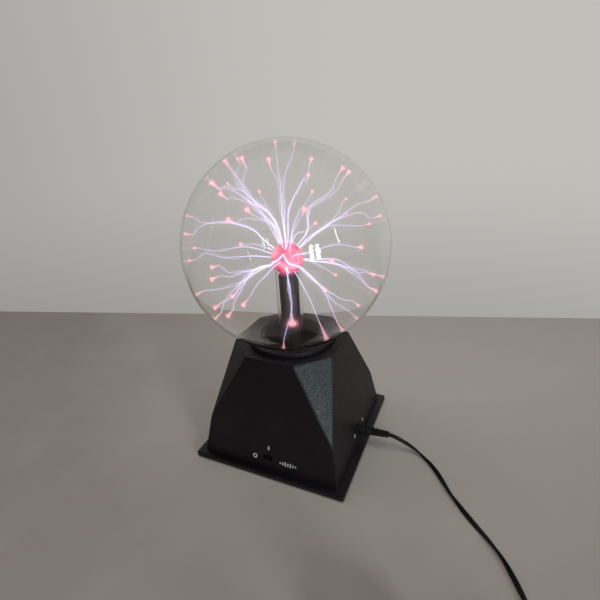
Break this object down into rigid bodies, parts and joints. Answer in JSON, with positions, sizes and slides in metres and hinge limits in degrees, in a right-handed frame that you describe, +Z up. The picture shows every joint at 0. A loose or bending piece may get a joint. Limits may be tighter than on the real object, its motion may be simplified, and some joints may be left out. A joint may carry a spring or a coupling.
{
  "type": "plasma globe desk lamp",
  "caption": "Clear glass globe with a central electrode on a tapered square base with cut corners, a slide switch and a plug-in power lead.",
  "frame": {"origin": "on the standing surface, under the centre of the square base", "axes": "+Z up; -Y is the front with the slide switch; +X is the side with the power socket"},
  "size_m": [0.3614, 0.312, 0.3185],
  "materials": {
    "black_abs": "fine moulded texture, satin",
    "black_pvc": "smooth, slightly soft",
    "foot_rubber": "matte",
    "foam": "open foam",
    "globe_glass": "clear, polished",
    "stem_glass": "clear, polished",
    "sleeve_plastic": "smooth",
    "electrode_metal": "glowing in the discharge",
    "cap_plastic": "smooth",
    "steel": "bright zinc",
    "plug_metal": "nickel plated",
    "silicone": "smooth",
    "board_laminate": "solder mask",
    "ferrite": "sintered",
    "winding_tape": "polyester tape",
    "capacitor_sleeve": "shrink sleeve",
    "aluminium": "extruded",
    "chip_epoxy": "moulded epoxy",
    "trimmer_plastic": "smooth",
    "tie_band": "woven hook tape"
  },
  "bodies": {
    "base": {"base_shell": "black_abs", "base_plate": "black_abs", "globe_collar": "black_abs", "power_socket": "black_abs", "adapter_case": "black_abs", "plug_body": "black_pvc", "plug_strain_relief": "black_pvc", "power_cord": "black_pvc", "cord_coil": "black_pvc", "cord_tail": "black_pvc", "adapter_strain_relief": "black_pvc", "foot_front_left": "foot_rubber", "foot_front_right": "foot_rubber", "foot_back_right": "foot_rubber", "foot_back_left": "foot_rubber", "collar_gasket": "foam", "glass_globe": "globe_glass", "inner_glass_stem": "stem_glass", "stem_sleeve": "sleeve_plastic", "electrode_core": "electrode_metal", "neck_cap": "cap_plastic", "plate_screw_front_left": "steel", "plate_screw_front_right": "steel", "plate_screw_back_right": "steel", "plate_screw_back_left": "steel", "cap_screw_1": "steel", "cap_screw_2": "steel", "cap_screw_3": "steel", "board_screw_1": "steel", "board_screw_2": "steel", "board_screw_3": "steel", "board_screw_4": "steel", "conductor_rod": "steel", "switch_frame": "steel", "socket_pin": "steel", "adapter_blade_left": "steel", "adapter_blade_right": "steel", "plug_barrel": "plug_metal", "high_voltage_boot": "silicone", "high_voltage_lead": "silicone", "circuit_board": "board_laminate", "transformer_core": "ferrite", "transformer_winding": "winding_tape", "supply_capacitor": "capacitor_sleeve", "timing_capacitor": "capacitor_sleeve", "heat_sink": "aluminium", "microphone": "aluminium", "driver_chip": "chip_epoxy", "power_transistor": "chip_epoxy", "sound_trimmer": "trimmer_plastic", "cord_tie": "tie_band"},
    "switch_slider": {"switch_knob": "black_abs"}
  },
  "joints": [
    {"name": "switch_slide", "type": "slide", "parent": "base", "child": "switch_slider", "axis": [1, 0, 0], "range_m": [-0.0025, 0.0025]}
  ]
}
